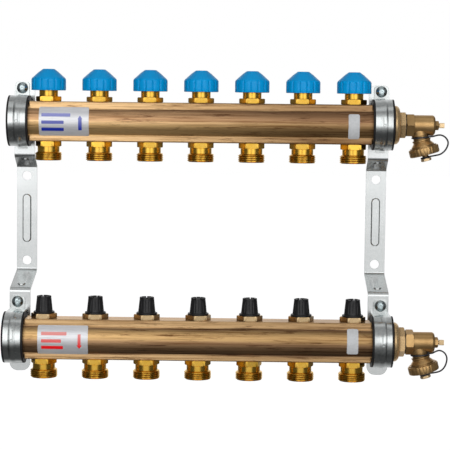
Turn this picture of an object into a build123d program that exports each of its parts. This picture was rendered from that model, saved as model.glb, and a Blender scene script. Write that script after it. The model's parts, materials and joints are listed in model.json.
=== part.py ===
# Heating manifold: a return bar above a supply bar on two bent wall brackets.
# X runs along the bars, Z is up, and the wall is the plane y = 0 behind everything.
# The origin is the centre of the four wall holes, on the wall.
import math
import os

from build123d import *

os.makedirs("parts", exist_ok=True)

# Layout of the two bars
port_count = 7
port_pitch = 50.0
bar_spacing = 210.0
bar_end_margin = 39.5
return_axis_depth = 42.0
supply_axis_depth = 74.0

# Bar section: a round tube with a flat pad above and below
bar_outer_r = 19.0
bar_bore_r = 14.6
bar_thread_r = 15.15
bar_thread_depth = 18.0
pad_half_width = 13.0
pad_height = 19.5
pad_foot = 12.6
pad_chamfer = 1.0
port_hole_r = 10.4

# Bent wall brackets
strip_width = 20.4
strip_thick = 2.5
strip_bend_r = 2.0
strip_end_r = 8.0
bracket_inset = 13.0
upper_bend = 45.5
upper_rise = 10.5
lower_bend = 58.0
lower_rise = 13.8
strip_top = 39.1
strip_bottom = 36.4
wall_hole_r = 4.5
wall_hole_inset = 10.25
rib_inset = 28.75
rib_width = 8.8
rib_height = 1.4
gusset_width = 8.0
gusset_height = 1.0
gusset_share = 0.7
press_slope = 35.0
ear_round = 3.0

# Lined pipe clamps
clamp_inset = 11.0
lining_thick = 4.2
lining_width = 20.5
lining_lip = 1.5
lining_fit = 0.05
back_lining = 2.5
band_thick = 1.8
band_width = 17.0
bead_width = 7.0
bead_height = 0.7
ear_width = 14.0
ear_height = 38.4
dimple_r = 1.4
dimple_depth = 0.5
tab_width = 8.8
tab_drop = 3.0
tab_fit = 0.2
slot_room = 3.2
seat_margin = 1.2

# Clamp screws and nuts
screw_height = 32.5
screw_r = 3.0
screw_hole_r = 3.2
screw_dome = 2.6
screw_head_r = 5.6
screw_head_high = 3.6
screw_end_reach = 2.0
recess_length = 6.6
recess_width = 1.3
recess_depth = 2.2
nut_flats = 10.0
nut_high = 5.0
thread_fit = 0.05

# Hexagons and shanks of the fittings in the bars
fitting_flats = 22.0
return_hex_high = 4.8
supply_hex_high = 4.7
shank_length = 6.0
hex_chamfer = 0.7
hex_clocking = 17.0

# Return valve inserts, pins and hand caps
neck_r = 9.2
collar_r = 15.0
collar_bottom = 31.0
collar_top = 37.5
collar_bevel = 0.8
pin_r = 2.5
pin_fit = 0.05
disc_r = 8.0
disc_thick = 3.0
return_travel = 3.0
seat_gap = 0.1
cap_r = 16.9
cap_sides = 14
cap_bottom = 30.2
cap_shoulder = 41.6
cap_top = 51.1
cap_top_r = 6.3
cap_fit = 0.1
boss_r = 4.5
roof_room = 0.4
cap_round = 1.6
pin_top = 43.0

# Supply regulating inserts, spindles and caps
stub_r = 6.0
stub_top = 32.7
spindle_r = 3.5
spindle_flats = 6.0
spindle_hex_start = 31.0
spindle_top = 36.3
spindle_fit = 0.1
plug_r = 7.0
plug_high = 4.0
plug_entry = 1.0
supply_travel = 2.5
knob_flange_r = 10.2
knob_flange_high = 1.7
knob_foot_r = 8.4
knob_top_r = 7.05
knob_top = 41.0
knob_recess_r = 4.8
knob_recess_depth = 3.0
knob_roof = 1.5
knob_lift = 0.1
knob_notches = 8
knob_notch_width = 1.2
knob_notch_depth = 1.5
knob_flutes = 12
knob_flute_r = 0.5
knob_edge = 0.5

# Outlet nipples
nipple_hex_high = 5.2
nipple_neck_r = 10.8
nipple_neck_end = 30.5
nipple_thread_r = 13.1
nipple_end = 38.4
nipple_bore_r = 6.0
nipple_mouth_r = 9.4
nipple_throat_r = 7.6
nipple_cone_depth = 7.0
nipple_chamfer = 1.0

# End bushes and their seals
bush_seal_thick = 0.5
bush_seal_wall = 3.2
bush_flange_r = 19.0
bush_rim = 1.4
bush_dome = 3.6
bush_hex_flats = 25.0
bush_hex_high = 5.4
bush_shank = 14.0
bush_bore_r = 10.4
valve_seal_r = 11.4
valve_seal_thick = 0.9

# Drain valves: X measures start at the bush hexagon's outer face
valve_shank = 14.0
valve_hex_flats = 21.4
valve_hex_high = 7.7
valve_body_r = 10.0
valve_body_length = 20.8
valve_body_round = 3.0
water_bore_r = 6.0
valve_seat_r = 4.0
valve_seat_length = 2.0
chamber_r = 7.0
gland_hole_r = 5.0
end_wall = 3.8
outlet_tilt = 15.0
outlet_offset = 4.0
outlet_bore_r = 5.0
outlet_neck_r = 8.5
ring_groove_r = 7.7
ring_groove_start = 10.4
ring_groove_end = 14.6
collar_one_r = 9.1
collar_one_end = 15.7
flare_start = 17.2
flare_end = 20.4
flare_r = 11.3
outlet_thread_start = 21.4
outlet_thread_r = 13.15
outlet_thread_end = 26.65

# Drain spindle, plug and gland nut
gland_flats = 9.0
gland_high = 3.7
gland_shank_r = 4.9
drain_stem_r = 2.5
drain_stem_fit = 0.05
drain_collar_r = 4.5
drain_collar_long = 2.4
drain_square = 5.0
drain_square_long = 4.6
drain_waist_r = 1.8
drain_waist_long = 0.9
drain_play = 0.1
drain_plug_r = 6.9
drain_plug_long = 7.4
drain_plug_wall = 2.0
drain_travel = 3.0

# Outlet caps, washers and tethers
washer_thick = 1.6
washer_r = 13.05
washer_hole_r = 3.0
washer_gap = 0.05
outlet_cap_r = 14.9
outlet_cap_start = 22.3
outlet_cap_face = 1.6
outlet_cap_fit = 0.1
outlet_cap_ribs = 24
outlet_cap_rib_r = 0.55
key_neck_r = 3.2
key_flats = 9.0
key_high = 2.6
cap_thread_pitch = 1.814
ring_one_r = 9.3
ring_one_thick = 1.4
ring_one_fit = 0.3
ring_one_reach = 12.4
ring_one_lean = 8.0
ring_two_r = 5.2
ring_two_thick = 1.5
ring_fit = 0.15
tether_r = 0.8

# Labels stuck on the bars
label_thick = 0.2
label_gap = 0.03
foil_length = 48.6
return_foil_lead = 7.4
supply_foil_lead = 4.2
marker_width = 10.8
marker_inset = 40.2
marker_short = 10.0

# Values worked out from the sizes above
half_span = (port_count - 1) / 2 * port_pitch
port_x = [n * port_pitch - half_span for n in range(port_count)]
bar_half = half_span + bar_end_margin
wall_length = bar_spacing - upper_bend - lower_bend
return_axis_z = upper_bend + wall_length / 2
supply_axis_z = return_axis_z - bar_spacing
return_axis = (-return_axis_depth, return_axis_z)
supply_axis = (-supply_axis_depth, supply_axis_z)
bracket_x = bar_half - bracket_inset
clamp_x = bar_half - clamp_inset
band_inner_r = bar_outer_r + lining_thick
band_outer_r = band_inner_r + band_thick
strip_face = bar_outer_r + back_lining
seat_length = clamp_inset + lining_width / 2 + seat_margin
drain_face = bar_half + bush_seal_thick + bush_rim + bush_dome + bush_hex_high
body_start = drain_face + valve_seal_thick + valve_hex_high
body_end = body_start + valve_body_length
outlet_foot = body_start + outlet_offset
outlet_cap_end = outlet_thread_end + washer_gap + washer_thick + outlet_cap_face
key_start = outlet_cap_end + cap_thread_pitch + ring_two_thick + 2 * ring_fit
tilt = math.radians(outlet_tilt)


def upright(x, axis):
    """Plane through a port, with radius along its x and height above the bar's axis along its y."""
    return Plane(origin=(x, axis[0], axis[1]), x_dir=(1, 0, 0), z_dir=(0, -1, 0))


def level(x, axis, height):
    """Horizontal plane over a port, at a height above the bar's axis."""
    return Plane(origin=(x, axis[0], axis[1] + height), x_dir=(1, 0, 0), z_dir=(0, 0, 1))


def square_on(x, axis):
    """Plane square to a bar at x, with the way back along its x and up along its y."""
    return Plane(origin=(x, axis[0], axis[1]), x_dir=(0, 1, 0), z_dir=(1, 0, 0))


def forward(x, z):
    """Plane through a clamp screw, with radius along its x and distance from the wall along its y."""
    return Plane(origin=(x, 0, z), x_dir=(1, 0, 0), z_dir=(0, 0, -1))


def outline(plane, points):
    """A flat face bounded by straight edges through the points."""
    with BuildSketch(plane) as sketch:
        with BuildLine():
            Polyline(*points, close=True)
        make_face()
    return sketch.sketch


def disc(plane, radius):
    """A round flat face."""
    with BuildSketch(plane) as sketch:
        Circle(radius)
    return sketch.sketch


def hexagon(plane, flats, turn=0.0):
    """A hexagonal face, given across its flats."""
    with BuildSketch(plane) as sketch:
        RegularPolygon(flats / 2, 6, major_radius=False, rotation=turn)
    return sketch.sketch


def port_axis(x, axis):
    """The vertical axis of a port."""
    return Axis((x, axis[0], axis[1]), (0, 0, 1))


def bar_axis(axis):
    """The long axis of a bar."""
    return Axis((0, axis[0], axis[1]), (1, 0, 0))


def outlet_axis(axis):
    """The tilted axis of a drain valve's outlet, pointing out of its mouth."""
    return Axis((outlet_foot, axis[0], axis[1]), (math.sin(tilt), 0, -math.cos(tilt)))


def outlet_side(axis):
    """Plane through the outlet's axis, with radius along its x and reach along its y."""
    return Plane(origin=(outlet_foot, axis[0], axis[1]), x_dir=(math.cos(tilt), 0, math.sin(tilt)),
                 z_dir=(0, 1, 0))


def outlet_square(axis, reach):
    """Plane square to the outlet's axis, at a reach along it."""
    line = outlet_axis(axis)
    return Plane(origin=line.position + line.direction * reach,
                 x_dir=(math.cos(tilt), 0, math.sin(tilt)), z_dir=line.direction)


def hex_block(plane, flats, high, turn=0.0, bevel_foot=False):
    """A hexagon standing on a plane, with its corners turned off at the top and, if asked, at the foot."""
    corner = flats / math.sqrt(3) + 0.01
    slope = hex_chamfer * math.sqrt(3)
    foot = [(0, 0), (corner - slope, 0), (corner, hex_chamfer)] if bevel_foot else [(0, 0), (corner, 0)]
    points = foot + [(corner, high - hex_chamfer), (corner - slope, high), (0, high)]
    side = Plane(origin=plane.origin, x_dir=plane.x_dir, z_dir=-plane.y_dir)
    with BuildPart() as block:
        with BuildSketch(plane):
            RegularPolygon(flats / 2, 6, major_radius=False, rotation=turn)
        extrude(amount=high)
        with BuildSketch(side):
            with BuildLine():
                Polyline(*points, close=True)
            make_face()
        revolve(axis=Axis(plane.origin, plane.z_dir), mode=Mode.INTERSECT)
    return block.part


def make_bar(axis):
    """One bar: drawn section, bore, port holes, and ends turned round outside and threaded inside."""
    with BuildPart() as bar:
        with BuildSketch(square_on(-bar_half, axis)):
            Circle(bar_outer_r)
            with Locations((0, pad_foot + bar_outer_r), (0, -pad_foot - bar_outer_r)):
                Rectangle(4 * bar_outer_r, 2 * bar_outer_r, mode=Mode.SUBTRACT)
            Rectangle(2 * pad_half_width, 2 * pad_height)
            Circle(bar_bore_r, mode=Mode.SUBTRACT)
        extrude(amount=2 * bar_half)
        corners = bar.edges().filter_by(Axis.X).filter_by(
            lambda edge: abs(abs(edge.center().Z - axis[1]) - pad_height) < 0.01)
        chamfer(corners, length=pad_chamfer)
        for end in (-1, 1):
            with BuildSketch(square_on(end * bar_half, axis)):
                Circle(2 * pad_height)
                Circle(bar_outer_r, mode=Mode.SUBTRACT)
            extrude(amount=-end * seat_length, mode=Mode.SUBTRACT)
            extrude(disc(square_on(end * bar_half, axis), bar_thread_r),
                    amount=-end * bar_thread_depth, mode=Mode.SUBTRACT)
        with BuildSketch(level(0, axis, -2 * pad_height)):
            with Locations(*[(x, 0) for x in port_x]):
                Circle(port_hole_r)
        extrude(amount=4 * pad_height, mode=Mode.SUBTRACT)
    return bar


return_bar = make_bar(return_axis)
return_bar.part.label = "return_bar"
export_step(return_bar.part, "parts/return_bar.step")

supply_bar = make_bar(supply_axis)
supply_bar.part.label = "supply_bar"
export_step(supply_bar.part, "parts/supply_bar.step")


def make_bracket(side):
    """A strip bent forward at both ends, with wall holes, a stamped rib and clamp fixings."""
    x = side * bracket_x
    screw_x = side * clamp_x
    middle = strip_thick / 2
    upper_y = -(return_axis_depth - strip_face) + middle
    lower_y = -(supply_axis_depth - strip_face) + middle
    upper_knee = return_axis_z - upper_bend
    lower_knee = supply_axis_z + lower_bend
    path = [(x, upper_y, return_axis_z + strip_top), (x, upper_y, upper_knee + upper_rise),
            (x, -middle, upper_knee), (x, -middle, lower_knee),
            (x, lower_y, lower_knee - lower_rise), (x, lower_y, supply_axis_z - strip_bottom)]
    with BuildPart() as bracket:
        with BuildLine() as route:
            FilletPolyline(*path, radius=strip_bend_r + middle)
        with BuildSketch(Plane(origin=path[0], x_dir=(1, 0, 0), z_dir=(0, 0, -1))):
            Rectangle(strip_width, strip_thick)
        sweep(path=route.line)
        ends = bracket.edges().filter_by(Axis.Y)
        fillet(ends.group_by(Axis.Z)[0] + ends.group_by(Axis.Z)[-1], radius=strip_end_r)
        for points, height in ((path[1:3], -1), (path[3:5], 1)):
            run = Vector(*points[1]) - Vector(*points[0])
            face_way = run.cross(Vector(1, 0, 0)).normalized()
            if face_way.Y > 0:
                face_way = face_way * -1
            centre = (Vector(*points[0]) + Vector(*points[1])) / 2 + face_way * middle
            with BuildSketch(Plane(origin=centre, x_dir=(1, 0, 0), z_dir=face_way)):
                SlotOverall(gusset_share * run.length, gusset_width, rotation=90)
            extrude(amount=gusset_height, taper=press_slope)
        with BuildSketch(Plane.XZ.offset(strip_thick)):
            with Locations((x, 0)):
                SlotOverall(wall_length - 2 * rib_inset, rib_width, rotation=90)
        extrude(amount=rib_height, taper=press_slope)
        with BuildSketch(Plane.XZ):
            with Locations((x, 0)):
                SlotOverall(wall_length - 2 * rib_inset - rib_height, rib_width - rib_height, rotation=90)
        extrude(amount=rib_height, taper=press_slope, mode=Mode.SUBTRACT)
        hole_z = wall_length / 2 - wall_hole_inset
        with BuildSketch(Plane.XZ):
            with Locations((x, hole_z), (x, -hole_z)):
                Circle(wall_hole_r)
        extrude(amount=strip_thick, mode=Mode.SUBTRACT)
        slot_top = band_inner_r - tab_fit
        slot_bottom = band_outer_r + slot_room
        for axis in (return_axis, supply_axis):
            with BuildSketch(Plane.XZ.offset(-axis[0] - strip_face - strip_thick)):
                with Locations((screw_x, axis[1] + screw_height)):
                    Circle(screw_hole_r)
                with Locations((screw_x, axis[1] - (slot_top + slot_bottom) / 2)):
                    Rectangle(tab_width + 2 * tab_fit, slot_bottom - slot_top)
            extrude(amount=strip_thick, mode=Mode.SUBTRACT)
    return bracket


left_bracket = make_bracket(-1)
left_bracket.part.label = "left_bracket"
export_step(left_bracket.part, "parts/left_bracket.step")

right_bracket = make_bracket(1)
right_bracket.part.label = "right_bracket"
export_step(right_bracket.part, "parts/right_bracket.step")

clamp_places = [(side * clamp_x, axis) for axis in (return_axis, supply_axis) for side in (-1, 1)]

# Each clamp band is a half ring with straight legs, an ear for the screw and a hooked tab
with BuildPart() as clamp_bands:
    for x, axis in clamp_places:
        back = axis[0] + strip_face
        with BuildSketch(square_on(x - band_width / 2, axis)):
            Circle(band_outer_r)
            with Locations((strip_face / 2, 0)):
                Rectangle(strip_face, 2 * band_outer_r)
            Circle(band_inner_r, mode=Mode.SUBTRACT)
            with Locations((strip_face / 2, 0)):
                Rectangle(strip_face, 2 * band_inner_r, mode=Mode.SUBTRACT)
            with Locations((strip_face + band_outer_r, 0)):
                Rectangle(2 * band_outer_r, 4 * band_outer_r, mode=Mode.SUBTRACT)
        extrude(amount=band_width)
        with BuildSketch(upright(x, axis)):
            with BuildLine():
                left, right = -bead_width / 2, bead_width / 2
                ThreePointArc((left, band_outer_r), (0, band_outer_r + bead_height), (right, band_outer_r))
                Polyline((right, band_outer_r), (right, band_outer_r - bead_height),
                         (left, band_outer_r - bead_height), (left, band_outer_r))
            make_face()
        revolve(axis=bar_axis(axis), revolution_arc=180)
        with BuildSketch(upright(x, axis)):
            with BuildLine():
                ThreePointArc((left, band_inner_r), (0, band_inner_r + bead_height), (right, band_inner_r))
                Polyline((right, band_inner_r), (right, band_inner_r - bead_height),
                         (left, band_inner_r - bead_height), (left, band_inner_r))
            make_face()
        revolve(axis=bar_axis(axis), revolution_arc=180, mode=Mode.SUBTRACT)
        with BuildSketch(Plane.XZ.offset(-back)):
            with Locations((x, axis[1] + (band_inner_r + ear_height) / 2)):
                Rectangle(ear_width, ear_height - band_inner_r)
            top = axis[1] + ear_height
            crown = [v for v in vertices() if abs(v.Z - top) < 0.01 or abs(v.Y - top) < 0.01]
            fillet(crown, radius=ear_round)
            with Locations((x, axis[1] + screw_height)):
                Circle(screw_hole_r, mode=Mode.SUBTRACT)
        extrude(amount=band_thick)
        tab_back = strip_face + strip_thick + tab_fit / 2
        tab_points = [(strip_face - band_thick, -band_inner_r), (tab_back + band_thick, -band_inner_r),
                      (tab_back + band_thick, -band_outer_r - tab_drop),
                      (tab_back, -band_outer_r - tab_drop), (tab_back, -band_outer_r),
                      (strip_face - band_thick, -band_outer_r)]
        extrude(outline(square_on(x - tab_width / 2, axis), tab_points), amount=tab_width)
        front = Plane(origin=(x, axis[0] - band_outer_r - bead_height, axis[1]),
                      x_dir=(1, 0, 0), z_dir=(0, 1, 0))
        extrude(disc(front, dimple_r), amount=dimple_depth, taper=press_slope, mode=Mode.SUBTRACT)
clamp_bands.part.label = "clamp_bands"
export_step(clamp_bands.part, "parts/clamp_bands.step")

# Each rubber lining wraps the bar, is pinched behind it and has a lip on each side of the band
with BuildPart() as clamp_linings:
    for x, axis in clamp_places:
        start = x - lining_width / 2
        with BuildSketch(square_on(start, axis)):
            Circle(band_outer_r - lining_fit)
            Circle(bar_outer_r + lining_fit, mode=Mode.SUBTRACT)
            with Locations((strip_face - lining_fit + band_outer_r, 0)):
                Rectangle(2 * band_outer_r, 4 * band_outer_r, mode=Mode.SUBTRACT)
        extrude(amount=lining_width)
        with BuildSketch(square_on(x - band_width / 2 - lining_fit, axis)):
            Circle(2 * band_outer_r)
            Circle(band_inner_r - lining_fit, mode=Mode.SUBTRACT)
        extrude(amount=band_width + 2 * lining_fit, mode=Mode.SUBTRACT)
clamp_linings.part.label = "clamp_linings"
export_step(clamp_linings.part, "parts/clamp_linings.step")

# Pan-head screws with a cross recess, one through each ear and bracket
with BuildPart() as clamp_screws:
    for x, axis in clamp_places:
        seat = -axis[0] - strip_face + band_thick
        tip = seat - band_thick - strip_thick - nut_high - screw_end_reach
        z = axis[1] + screw_height
        with BuildSketch(forward(x, z)):
            with BuildLine():
                Polyline((0, seat + screw_head_high), (0, tip), (screw_r, tip), (screw_r, seat),
                         (screw_head_r, seat), (screw_head_r, seat + screw_head_high - screw_dome))
                ThreePointArc((screw_head_r, seat + screw_head_high - screw_dome),
                              (screw_head_r * 0.62, seat + screw_head_high - 0.14 * screw_dome),
                              (0, seat + screw_head_high))
            make_face()
        revolve(axis=Axis((x, 0, z), (0, 1, 0)))
        with BuildSketch(Plane(origin=(x, -seat - screw_head_high, z), x_dir=(1, 0, 0), z_dir=(0, 1, 0))):
            Rectangle(recess_length, recess_width, rotation=35)
            Rectangle(recess_width, recess_length, rotation=35)
        extrude(amount=recess_depth, taper=10, mode=Mode.SUBTRACT)
clamp_screws.part.label = "clamp_screws"
export_step(clamp_screws.part, "parts/clamp_screws.step")

# Hexagon nuts behind the brackets
with BuildPart() as clamp_nuts:
    for x, axis in clamp_places:
        back = -axis[0] - strip_face - strip_thick
        face = Plane(origin=(x, -back, axis[1] + screw_height), x_dir=(1, 0, 0), z_dir=(0, 1, 0))
        extrude(hexagon(face, nut_flats), amount=nut_high)
        extrude(disc(face, screw_r + thread_fit), amount=nut_high, mode=Mode.SUBTRACT)
clamp_nuts.part.label = "clamp_nuts"
export_step(clamp_nuts.part, "parts/clamp_nuts.step")

# Return inserts: hexagon on the pad, neck, cap collar and a guide bore for the pin
return_hexes = [hex_block(level(x, return_axis, pad_height), fitting_flats, return_hex_high,
                          n * hex_clocking) for n, x in enumerate(port_x)]
with BuildPart() as return_inserts:
    add(return_hexes)
    for x in port_x:
        low = pad_height - shank_length
        turned = [(pin_r + pin_fit, low), (port_hole_r - thread_fit, low),
                  (port_hole_r - thread_fit, pad_height), (neck_r, pad_height + hex_chamfer),
                  (neck_r, collar_bottom), (collar_r - collar_bevel, collar_bottom),
                  (collar_r, collar_bottom + collar_bevel), (collar_r, collar_top - collar_bevel),
                  (collar_r - collar_bevel, collar_top), (pin_r + pin_fit, collar_top)]
        revolve(outline(upright(x, return_axis), turned), axis=port_axis(x, return_axis))
        bore = disc(level(x, return_axis, 0), pin_r + pin_fit)
        extrude(bore, amount=collar_top, mode=Mode.SUBTRACT)
return_inserts.part.label = "return_inserts"
export_step(return_inserts.part, "parts/return_inserts.step")

# Supply inserts: hexagon on the pad and a plain stub that carries the regulating cap
supply_hexes = [hex_block(level(x, supply_axis, pad_height), fitting_flats, supply_hex_high,
                          n * hex_clocking) for n, x in enumerate(port_x)]
with BuildPart() as supply_inserts:
    add(supply_hexes)
    for x in port_x:
        low = pad_height - shank_length
        turned = [(spindle_r + pin_fit, low), (port_hole_r - thread_fit, low),
                  (port_hole_r - thread_fit, pad_height), (stub_r, pad_height + hex_chamfer),
                  (stub_r, stub_top), (spindle_r + pin_fit, stub_top)]
        revolve(outline(upright(x, supply_axis), turned), axis=port_axis(x, supply_axis))
        bore = disc(level(x, supply_axis, 0), spindle_r + pin_fit)
        extrude(bore, amount=stub_top, mode=Mode.SUBTRACT)
supply_inserts.part.label = "supply_inserts"
export_step(supply_inserts.part, "parts/supply_inserts.step")


def nipple_outline():
    """Radius and height of an outlet nipple's turned body, from its valve seat to its mouth."""
    return [(nipple_bore_r, -pad_height + shank_length),
            (port_hole_r - thread_fit, -pad_height + shank_length),
            (port_hole_r - thread_fit, -pad_height), (nipple_neck_r, -pad_height - hex_chamfer),
            (nipple_neck_r, -nipple_neck_end), (nipple_thread_r - nipple_chamfer, -nipple_neck_end),
            (nipple_thread_r, -nipple_neck_end - nipple_chamfer),
            (nipple_thread_r, -nipple_end + nipple_chamfer),
            (nipple_thread_r - nipple_chamfer, -nipple_end), (nipple_mouth_r, -nipple_end),
            (nipple_throat_r, -nipple_end + nipple_cone_depth),
            (nipple_bore_r, -nipple_end + nipple_cone_depth)]


def make_nipples(axis):
    """The outlet nipples under one bar, each with its hexagon tight against the pad."""
    hexes = [hex_block(level(x, axis, -pad_height - nipple_hex_high), fitting_flats, nipple_hex_high,
                       n * hex_clocking, bevel_foot=True) for n, x in enumerate(port_x)]
    with BuildPart() as nipples:
        add(hexes)
        for x in port_x:
            revolve(outline(upright(x, axis), nipple_outline()), axis=port_axis(x, axis))
            bore = disc(level(x, axis, -nipple_end), nipple_bore_r)
            extrude(bore, amount=nipple_end, mode=Mode.SUBTRACT)
    return nipples


return_nipples = make_nipples(return_axis)
return_nipples.part.label = "return_nipples"
export_step(return_nipples.part, "parts/return_nipples.step")

supply_nipples = make_nipples(supply_axis)
supply_nipples.part.label = "supply_nipples"
export_step(supply_nipples.part, "parts/supply_nipples.step")

# Return valve pins: a stem with the valve disc that closes on the nipple's seat
for number, x in enumerate(port_x, start=1):
    disc_low = -pad_height + shank_length + seat_gap + return_travel
    stem = [(0, disc_low), (disc_r, disc_low), (disc_r, disc_low + disc_thick),
            (pin_r, disc_low + disc_thick), (pin_r, pin_top), (0, pin_top)]
    with BuildPart() as return_pin:
        revolve(outline(upright(x, return_axis), stem), axis=port_axis(x, return_axis))
    return_pin.part.label = f"return_pin_{number}"
    export_step(return_pin.part, f"parts/return_pin_{number}.step")

# Return hand caps: a fourteen-sided skirt under a cone, hollow over the insert's collar
cone_slope = (cap_top - cap_shoulder) / (cap_r - cap_top_r)
roof_height = collar_top + return_travel + roof_room
cap_bore_r = collar_r + cap_fit
for number, x in enumerate(port_x, start=1):
    with BuildPart() as return_cap:
        with BuildSketch(level(x, return_axis, cap_bottom)):
            RegularPolygon(cap_r, cap_sides, rotation=number * hex_clocking)
        extrude(amount=cap_top - cap_bottom)
        with BuildSketch(upright(x, return_axis)) as skin:
            with BuildLine():
                Polyline((0, cap_bottom), (cap_r, cap_bottom), (cap_r, cap_shoulder),
                         (cap_top_r, cap_top), (0, cap_top), close=True)
            make_face()
            rounded = [v for v in skin.vertices() if v.X > 0.1 and v.Y > cap_bottom + 0.1]
            fillet(rounded, radius=cap_round)
        revolve(axis=port_axis(x, return_axis), mode=Mode.INTERSECT)
        hollow = [(0, cap_bottom), (cap_bore_r, cap_bottom), (cap_bore_r, roof_height),
                  (cap_top_r, roof_height + cone_slope * (cap_bore_r - cap_top_r)),
                  (boss_r, roof_height + cone_slope * (cap_bore_r - cap_top_r)), (boss_r, pin_top),
                  (0, pin_top)]
        revolve(outline(upright(x, return_axis), hollow), axis=port_axis(x, return_axis),
                mode=Mode.SUBTRACT)
    return_cap.part.label = f"return_cap_{number}"
    export_step(return_cap.part, f"parts/return_cap_{number}.step")

# Supply regulating spindles: a hexagon head in the cap, a round shank and the regulating plug
for number, x in enumerate(port_x, start=1):
    plug_low = -pad_height + shank_length + seat_gap + supply_travel
    shank = [(0, plug_low), (nipple_bore_r - plug_entry, plug_low), (plug_r, plug_low + plug_entry),
             (plug_r, plug_low + plug_high), (spindle_r, plug_low + plug_high),
             (spindle_r, spindle_hex_start), (0, spindle_hex_start)]
    with BuildPart() as supply_spindle:
        revolve(outline(upright(x, supply_axis), shank), axis=port_axis(x, supply_axis))
        extrude(hexagon(level(x, supply_axis, spindle_hex_start), spindle_flats),
                amount=spindle_top - spindle_hex_start)
    supply_spindle.part.label = f"supply_spindle_{number}"
    export_step(supply_spindle.part, f"parts/supply_spindle_{number}.step")

# Supply caps: a tapered, fluted knob on a thin flange, with a notched recess in its top
for number, x in enumerate(port_x, start=1):
    foot = pad_height + supply_hex_high + knob_lift
    flange_top = foot + knob_flange_high
    recess_floor = knob_top - knob_recess_depth
    socket_start = stub_top + spindle_fit
    skin = [(0, foot), (knob_flange_r, foot), (knob_flange_r, flange_top), (knob_foot_r, flange_top),
            (knob_top_r, knob_top - knob_edge), (knob_top_r - knob_edge, knob_top), (0, knob_top)]
    with BuildPart() as supply_cap:
        revolve(outline(upright(x, supply_axis), skin), axis=port_axis(x, supply_axis))
        flute_lean = math.degrees(math.atan((knob_foot_r - knob_top_r) / (knob_top - flange_top)))
        for flute in range(knob_flutes):
            turn = math.radians(flute * 360 / knob_flutes)
            way = Vector(math.cos(turn), math.sin(turn), 0)
            base = Vector(x, supply_axis[0], supply_axis[1] + flange_top) + way * knob_foot_r
            head = Vector(x, supply_axis[0], supply_axis[1] + knob_top + knob_edge) + way * knob_top_r
            groove = Plane(origin=base, z_dir=head - base)
            extrude(disc(groove, knob_flute_r), amount=(head - base).length, mode=Mode.SUBTRACT)
        extrude(disc(level(x, supply_axis, foot), stub_r + spindle_fit), amount=socket_start - foot,
                mode=Mode.SUBTRACT)
        extrude(hexagon(level(x, supply_axis, socket_start), spindle_flats + 2 * spindle_fit),
                amount=recess_floor - knob_roof - socket_start, mode=Mode.SUBTRACT)
        extrude(disc(level(x, supply_axis, recess_floor), knob_recess_r), amount=knob_recess_depth,
                mode=Mode.SUBTRACT)
        with BuildSketch(level(x, supply_axis, knob_top - knob_notch_depth)):
            with PolarLocations((knob_recess_r + knob_top_r) / 2, knob_notches):
                Rectangle(knob_top_r, knob_notch_width)
        extrude(amount=knob_notch_depth, mode=Mode.SUBTRACT)
    supply_cap.part.label = f"supply_cap_{number}"
    export_step(supply_cap.part, f"parts/supply_cap_{number}.step")

# End bushes screwed into the right ends of the bars, with a domed flange and a hexagon
flange_face = bar_half + bush_seal_thick
dome_face = flange_face + bush_rim + bush_dome
bush_corner = bush_hex_flats / math.sqrt(3)
bush_hexes = [hex_block(square_on(dome_face, axis), bush_hex_flats, bush_hex_high, 30.0 * n)
              for n, axis in enumerate((return_axis, supply_axis))]
with BuildPart() as end_bushes:
    add(bush_hexes)
    for axis in (return_axis, supply_axis):
        with BuildSketch(upright(0, axis)):
            with BuildLine():
                shoulder = (flange_face + bush_rim, bush_flange_r)
                crest = (dome_face, bush_corner)
                middle = (flange_face + bush_rim + bush_dome * 0.72, bush_flange_r - bush_dome * 0.5)
                ThreePointArc(shoulder, middle, crest)
                Polyline(crest, (dome_face, bush_bore_r), (bar_half - bush_shank, bush_bore_r),
                         (bar_half - bush_shank, bar_thread_r - thread_fit),
                         (flange_face, bar_thread_r - thread_fit), (flange_face, bush_flange_r), shoulder)
            make_face()
        revolve(axis=bar_axis(axis))
        bore = disc(square_on(bar_half - bush_shank, axis), bush_bore_r)
        extrude(bore, amount=2 * bush_shank, mode=Mode.SUBTRACT)
end_bushes.part.label = "end_bushes"
export_step(end_bushes.part, "parts/end_bushes.step")

# Flat rings between each bar's end and its bush
with BuildPart() as bush_seals:
    for axis in (return_axis, supply_axis):
        with BuildSketch(square_on(bar_half, axis)):
            Circle(bar_thread_r + bush_seal_wall)
            Circle(bar_thread_r, mode=Mode.SUBTRACT)
        extrude(amount=bush_seal_thick)
bush_seals.part.label = "bush_seals"
export_step(bush_seals.part, "parts/bush_seals.step")

# Dark rings between each bush and its drain valve
with BuildPart() as valve_seals:
    for axis in (return_axis, supply_axis):
        with BuildSketch(square_on(drain_face, axis)):
            Circle(valve_seal_r)
            Circle(bush_bore_r, mode=Mode.SUBTRACT)
        extrude(amount=valve_seal_thick)
valve_seals.part.label = "valve_seals"
export_step(valve_seals.part, "parts/valve_seals.step")


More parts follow.
